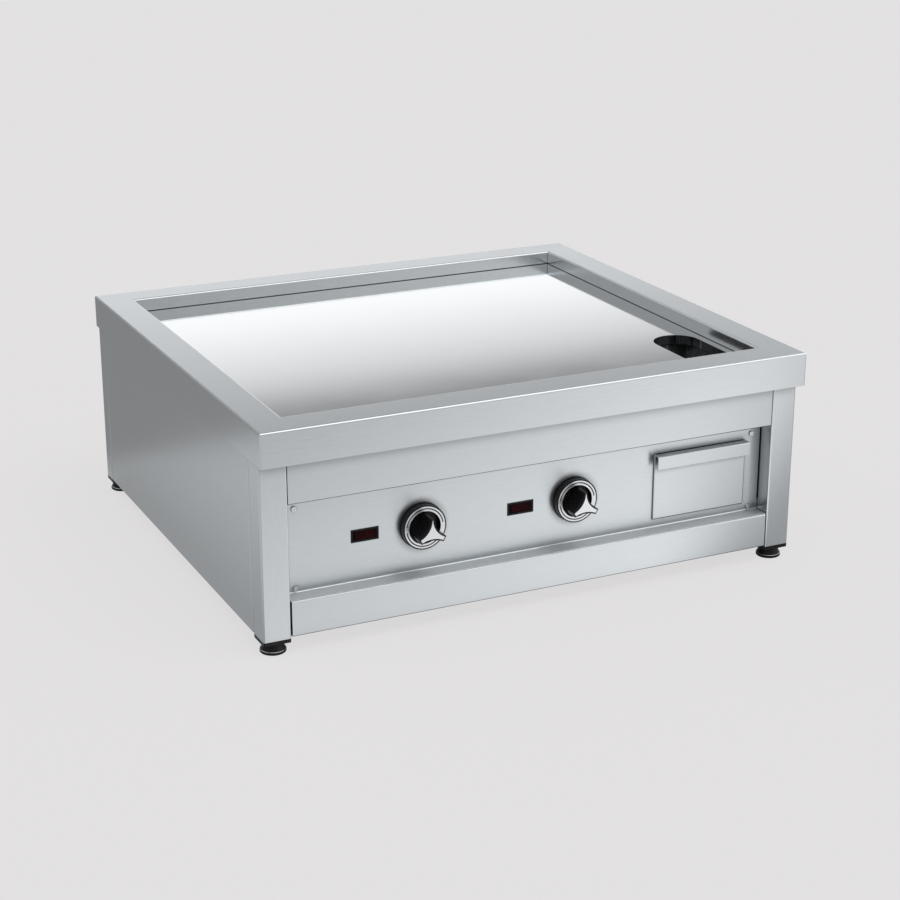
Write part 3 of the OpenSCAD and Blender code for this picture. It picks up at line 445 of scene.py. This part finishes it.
zinc = speckled("zinc_plate", (0.72, 0.73, 0.74), (0.58, 0.59, 0.61), 0.34, 1.2, 0.01, metallic=1.0)
black_gloss = moulded_plastic("black_gloss", (0.009, 0.009, 0.010), base=0.26, specular=0.18)
black_foot = moulded_plastic("black_foot", (0.010, 0.010, 0.011), base=0.24, grain=0.5, specular=0.25)
cream = speckled("cream_moulding", (0.80, 0.77, 0.68), (0.70, 0.66, 0.56), 0.6, 0.5, 0.02)
bright_screw = brushed_steel("bright_screw", "x", (0.86, 0.87, 0.88), 0.16, 0.03)

SLOT_FINISH = {
    "frame_steel": brushed_steel("frame_steel_rim", "rim", painted_shades=(SEAM_PAINTED_SHADE,)),
    "panel_steel": steel_x,
    "polished_plate": polished_plate(),
    "seal": speckled("black_seal", (0.020, 0.020, 0.021), (0.010, 0.010, 0.010), 0.55, 0.6, 0.02),
    "plain_steel": brushed_steel("mill_steel", "x", (0.60, 0.61, 0.62), 0.42, 0.08, painted_shades=(CORNER_PAINTED_SHADE,)),
    "zinc_steel": zinc,
    "bright_screw": bright_screw,
    "black_plastic": black_gloss,
    "foot_plastic": black_foot,
    "silver_trim": turned_metal("silver_trim", (0.90, 0.91, 0.92), knob_axes, 0.24)[0],
    "display_red": smoked_window(),
    "element_sheath": speckled("element_sheath", (0.20, 0.18, 0.17), (0.09, 0.08, 0.08), 0.5, 1.5, 0.02, 0.8),
    "mineral_wool": speckled("mineral_wool", (0.80, 0.74, 0.56), (0.52, 0.46, 0.32), 0.95, 1.6, 0.6),
    "cream_moulding": cream,
    "red_plastic": moulded_plastic("red_plastic", (0.50, 0.02, 0.015), base=0.25),
    "wire_cover": speckled("wire_cover", (0.030, 0.030, 0.033), (0.018, 0.018, 0.020), 0.5, 0.8, 0.03),
    "brass_stud": brushed_steel("brass", "y", (0.80, 0.60, 0.28), 0.22, 0.05),
}
# Nodes whose finish differs from their slot's, or which are brushed another way
NODE_FINISH = {
    "front_fascia": fascia_steel,
    "control_panel": panel_steel,
    "kick_plate": open_steel,
    "drawer_front": drawer_steel,
    "left_side_panel": steel_y,
    "right_side_panel": steel_y,
    "drawer_tray": steel_y,
    "drain_chute": enamel_with_painted_streak_highlights(),
    "left_scale_ring": scale_ring(),
    **{f"{end}_{side}_leg": steel_z for end in ("front", "rear") for side in ("left", "right")},
}
NODE_FINISH["right_scale_ring"] = NODE_FINISH["left_scale_ring"]


def paint(obj, material):
    if not obj.data.materials:
        obj.data.materials.append(material)
    for slot in obj.material_slots:
        slot.material = material


for part in frame["record"]["subparts"]:
    name = part["node"]
    paint(frame["nodes"][name], NODE_FINISH.get(name, SLOT_FINISH[part["material_slot"]]))

# ---- Small trim ----

RING_WIRE_R = 0.55 * MM
RING_WIRE_SIDES = 12
RING_INSET = 0.85 * MM      # from the pad's edge in to the middle of the ring's wire
RING_HEIGHT = 4.75 * MM     # above the surface that the foot stands on

def new_piece(name, mesh_maker, material, body):
    """A mesh piece in the row frame, filled by mesh_maker(bm), that rides on a body."""
    mesh = bpy.data.meshes.new(name)
    bm = bmesh.new()
    mesh_maker(bm)
    bmesh.ops.recalc_face_normals(bm, faces=bm.faces)
    bm.to_mesh(mesh)
    bm.free()
    piece = bpy.data.objects.new(name, mesh)
    bpy.context.scene.collection.objects.link(piece)
    mesh.materials.append(material)
    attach(piece, body)
    return piece


def ring_mesh(bm, centre, section, steps=96):
    """Sweeps a closed section of (radius, height) points about the vertical axis through centre."""
    loops = []
    for step in range(steps):
        angle = 2 * math.pi * step / steps
        loops.append([
            bm.verts.new((centre.x + r * math.cos(angle), centre.y + r * math.sin(angle), centre.z + h))
            for r, h in section
        ])
    count = len(section)
    for step in range(steps):
        here, there = loops[step], loops[(step + 1) % steps]
        for i in range(count):
            j = (i + 1) % count
            face = bm.faces.new((here[i], here[j], there[j], there[i]))
            face.smooth = True


def foot_ring(corner):
    """Thin bright ring pressed on over the rubber base of a foot."""
    lo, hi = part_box(f"{corner}_foot_pad")
    radius = (hi.x - lo.x) / 2
    centre = Vector(((lo.x + hi.x) / 2, (lo.y + hi.y) / 2, lo.z))
    section = [
        (radius - RING_INSET + RING_WIRE_R * math.cos(a), RING_HEIGHT + RING_WIRE_R * math.sin(a))
        for a in (2 * math.pi * k / RING_WIRE_SIDES for k in range(RING_WIRE_SIDES))
    ]
    name = f"{corner}_foot_ring"
    new_piece(name, lambda bm: ring_mesh(bm, centre, section), bright_screw, f"{corner}_pad")


for end in ("front", "rear"):
    for side in ("left", "right"):
        foot_ring(f"{end}_{side}")

# ---- Studio ----

CAMERA_HEADING = 25.46     # degrees from +Y towards +X
CAMERA_DOWN = 19.41        # degrees below the horizon
CAMERA_DISTANCE = 3.213
CAMERA_LENS = 80.63
SENSOR_WIDTH = 36.0
AIM_OFFSET = Vector((-0.0316, -0.1294, 0.0))  # from the middle of the object to the point looked at
FLOOR_HALF = 30.0
PALE = (0.80, 0.785, 0.79)
FLOOR_GLOW = 0.943
FLOOR_GLOW_SHARE = 0.90
BACKDROP_GLOW = 0.96
BACKDROP_RADIUS = 28.0
BACKDROP_HEIGHT = 25.0
BACKDROP_SIDES = 96
COOL_WHITE = (0.98, 0.99, 1.0, 1)
REFLECTED_FLOOR_GAP = 0.3 * MM
# Brightness of the parts of the floor that the steel mirrors
FLOOR_CORNER_LEVEL = 0.38
FLOOR_BEHIND_LEVEL = 0.70
FLOOR_FAR_LEFT_LEVEL = 0.25
FLOOR_UNDER_LEVEL = 0.25
# Brightness of the parts of the room that the steel mirrors. The wall behind goes by (rise, brightness).
WALL_LEVELS = ((0.296, 1.06), (0.335, 0.70), (0.351, 0.35), (0.375, 0.17))
RIGHT_WALL_LEVEL = 0.60
LEFT_WALL_LEVEL = 0.33
SKYLIGHT_LEVEL = 0.9
OVERHEAD_LEVEL = 1.6
ZENITH_LEVEL = 0.85
SUN_ANGLE = 40              # degrees across, for a soft shadow
SUN_STRENGTH = 0.9
SUN_DIRECTION = Vector((-0.4, 0.5, -1.0))


def make_camera():
    middle = (CAD_LO + CAD_HI) / 2
    aim = middle + AIM_OFFSET
    heading, down = math.radians(CAMERA_HEADING), math.radians(CAMERA_DOWN)
    level = math.cos(down)
    forward = Vector((math.sin(heading) * level, math.cos(heading) * level, -math.sin(down)))
    data = bpy.data.cameras.new("camera")
    data.lens = CAMERA_LENS
    data.sensor_width = SENSOR_WIDTH
    camera = bpy.data.objects.new("camera", data)
    camera.location = aim - forward * CAMERA_DISTANCE
    camera.rotation_euler = forward.to_track_quat("-Z", "Y").to_euler()
    bpy.context.scene.collection.objects.link(camera)
    bpy.context.scene.camera = camera


def new_stage_mesh(name, points, faces, material):
    """Part of the studio, which isn't part of the object."""
    mesh = bpy.data.meshes.new(name)
    mesh.from_pydata(points, [], faces)
    mesh.materials.append(material)
    made = bpy.data.objects.new(name, mesh)
    bpy.context.scene.collection.objects.link(made)
    return made


def new_stage_plane(name, height, material):
    """Large flat plane at a height."""
    corners = ((-1, -1), (1, -1), (1, 1), (-1, 1))
    points = [(sx * FLOOR_HALF, sy * FLOOR_HALF, height) for sx, sy in corners]
    return new_stage_mesh(name, points, [(0, 1, 2, 3)], material)


def empty_material(name):
    material = bpy.data.materials.new(name)
    material.use_nodes = True
    material.node_tree.nodes.clear()
    return material, material.node_tree


def make_floor():
    """Pale floor that glows a little, so that the shadow on it stays soft."""
    material, tree = empty_material("floor")
    lit = add(tree, "BsdfDiffuse", {"Color": (*PALE, 1)})
    glow = add(tree, "Emission", {"Color": (*PALE, 1), "Strength": FLOOR_GLOW})
    both = add(tree, "MixShader", {0: FLOOR_GLOW_SHARE, 1: lit.outputs[0], 2: glow.outputs[0]})
    out = add(tree, "OutputMaterial")
    tree.links.new(both.outputs[0], out.inputs[0])
    new_stage_plane("floor", CAD_LO.z, material)


def make_backdrop():
    """Wall round the edge of the floor, as bright as the floor, for views too level to see only the floor."""
    material, tree = empty_material("backdrop")
    glow = add(tree, "Emission", {"Color": (*PALE, 1), "Strength": BACKDROP_GLOW})
    out = add(tree, "OutputMaterial")
    tree.links.new(glow.outputs[0], out.inputs[0])
    rim = [
        (BACKDROP_RADIUS * math.cos(a), BACKDROP_RADIUS * math.sin(a))
        for a in (2 * math.pi * k / BACKDROP_SIDES for k in range(BACKDROP_SIDES))
    ]
    low = [(x, y, CAD_LO.z) for x, y in rim]
    high = [(x, y, BACKDROP_HEIGHT) for x, y in rim]
    count = BACKDROP_SIDES
    faces = [(k, (k + 1) % count, (k + 1) % count + count, k + count) for k in range(count)]
    wall = new_stage_mesh("backdrop", low + high, faces, material)
    wall.visible_diffuse = False
    wall.visible_glossy = False
    wall.visible_shadow = False
    wall.visible_transmission = False


def beyond(tree, value, lo, hi):
    """How far a coordinate lies outside lo to hi, and below zero inside."""
    off_middle = math_node(tree, "ABSOLUTE", math_node(tree, "SUBTRACT", value, (lo + hi) / 2))
    return math_node(tree, "SUBTRACT", off_middle, (hi - lo) / 2)


def floor_in_front(tree, x, y):
    """Brightness of the mirrored floor in front: brighter to the right, dim beyond the right front corner."""
    rightwards = weighted_sum(tree, [(x, 1.0), (y, 0.8)])
    level = remap(tree, rightwards, 0.54, 0.95, (-1.2, -0.15))
    level = math_node(tree, "MULTIPLY", level, remap(tree, y, 0.90, 1.0, (-1.30, -0.95)))
    corner = smooth(tree, weighted_sum(tree, [(x, 1.0), (y, 1.0)]), -0.22, 0.0)
    level = math_node(tree, "MULTIPLY", level, mix_values(tree, corner, 1.0, FLOOR_CORNER_LEVEL))
    behind = smooth(tree, y, CAD_LO.y, CAD_LO.y + 0.2)
    return mix_values(tree, behind, level, FLOOR_BEHIND_LEVEL)


def floor_at_left(tree, x, y):
    """Brightness of the mirrored floor at the left: dimmer close to the object and at its far end."""
    level = remap(tree, x, 0.52, 0.32, (CAD_LO.x - 0.28, CAD_LO.x - 0.03))
    far_end = smooth(tree, y, 0.48, 0.60)
    return mix_values(tree, far_end, level, FLOOR_FAR_LEFT_LEVEL)


def make_reflected_floor():
    """What the steel mirrors of the floor, in place of the evenly lit floor that the camera sees."""
    material, tree = empty_material("reflected_floor")
    x, y, _ = add(tree, "SeparateXYZ", {0: position(tree)}).outputs
    on_left = smooth(tree, x, CAD_LO.x + 0.04, CAD_LO.x - 0.04)
    level = mix_values(tree, on_left, floor_in_front(tree, x, y), floor_at_left(tree, x, y))
    away_x = beyond(tree, x, CAD_LO.x, CAD_HI.x)
    away_y = beyond(tree, y, CAD_LO.y, CAD_HI.y)
    away = math_node(tree, "MAXIMUM", away_x, away_y)
    clear = smooth(tree, away, -0.04, 0.04)
    level = math_node(tree, "MULTIPLY", level, mix_values(tree, clear, FLOOR_UNDER_LEVEL, 1.0))
    glow = add(tree, "Emission", {"Color": COOL_WHITE, "Strength": level})
    out = add(tree, "OutputMaterial")
    tree.links.new(glow.outputs[0], out.inputs[0])
    plane = new_stage_plane("reflected_floor", CAD_LO.z + REFLECTED_FLOOR_GAP, material)
    plane.visible_camera = False
    plane.visible_diffuse = False
    plane.visible_shadow = False
    plane.visible_transmission = False


def make_world():
    """Room seen in the steel: a white wall behind that darkens upwards, and a soft light over the front.

    rise is how steeply a direction climbs and sideways how far it turns right, both against its depth.
    """
    world = bpy.data.worlds.new("studio")
    bpy.context.scene.world = world
    world.use_nodes = True
    tree = world.node_tree
    tree.nodes.clear()
    direction = add(tree, "TexCoord").outputs["Generated"]
    x, y, z = add(tree, "SeparateXYZ", {0: direction}).outputs
    depth = math_node(tree, "MAXIMUM", math_node(tree, "ABSOLUTE", y), 0.02)
    rise = math_node(tree, "DIVIDE", z, depth)
    sideways = math_node(tree, "DIVIDE", x, depth)

    wall = add(tree, "ValToRGB", {0: rise})
    stops = wall.color_ramp.elements
    for rise_there, _ in WALL_LEVELS[len(stops):]:
        stops.new(rise_there)
    for stop, (rise_there, shade_there) in zip(stops, WALL_LEVELS):
        stop.position = rise_there
        stop.color = (shade_there, shade_there, shade_there, 1)
    wall_level = math_node(tree, "MAXIMUM", wall.outputs[0], 0.0)
    back = mix_values(tree, smooth(tree, sideways, 0.56, 0.90), wall_level, RIGHT_WALL_LEVEL)
    back = mix_values(tree, smooth(tree, sideways, 0.15, -0.15), back, LEFT_WALL_LEVEL)
    skylight = math_node(tree, "MULTIPLY", smooth(tree, z, 0.45, 0.53), smooth(tree, sideways, 0.25, 0.0))
    back = mix_values(tree, skylight, back, SKYLIGHT_LEVEL)
    front = remap(tree, sideways, 0.36, 0.74, (0.30, 0.62))
    level = mix_values(tree, smooth(tree, y, -0.05, 0.05), front, back)
    overhead = math_node(tree, "MULTIPLY", smooth(tree, z, 0.55, 0.8), smooth(tree, y, 0.4, -0.1))
    level = mix_values(tree, overhead, level, OVERHEAD_LEVEL)
    level = mix_values(tree, smooth(tree, z, 0.92, 0.98), level, ZENITH_LEVEL)
    light = add(tree, "Background", {"Color": COOL_WHITE, "Strength": level})
    out = add(tree, "OutputWorld")
    tree.links.new(light.outputs[0], out.inputs[0])


def make_sun():
    """Soft light from the upper right front, which the steel doesn't mirror."""
    data = bpy.data.lights.new("sun", "SUN")
    data.angle = math.radians(SUN_ANGLE)
    data.energy = SUN_STRENGTH
    sun = bpy.data.objects.new("sun", data)
    sun.rotation_euler = SUN_DIRECTION.to_track_quat("-Z", "Y").to_euler()
    sun.visible_glossy = False
    bpy.context.scene.collection.objects.link(sun)


make_camera()
make_floor()
make_backdrop()
make_reflected_floor()
make_world()
make_sun()
bpy.context.scene.view_settings.view_transform = "Standard"
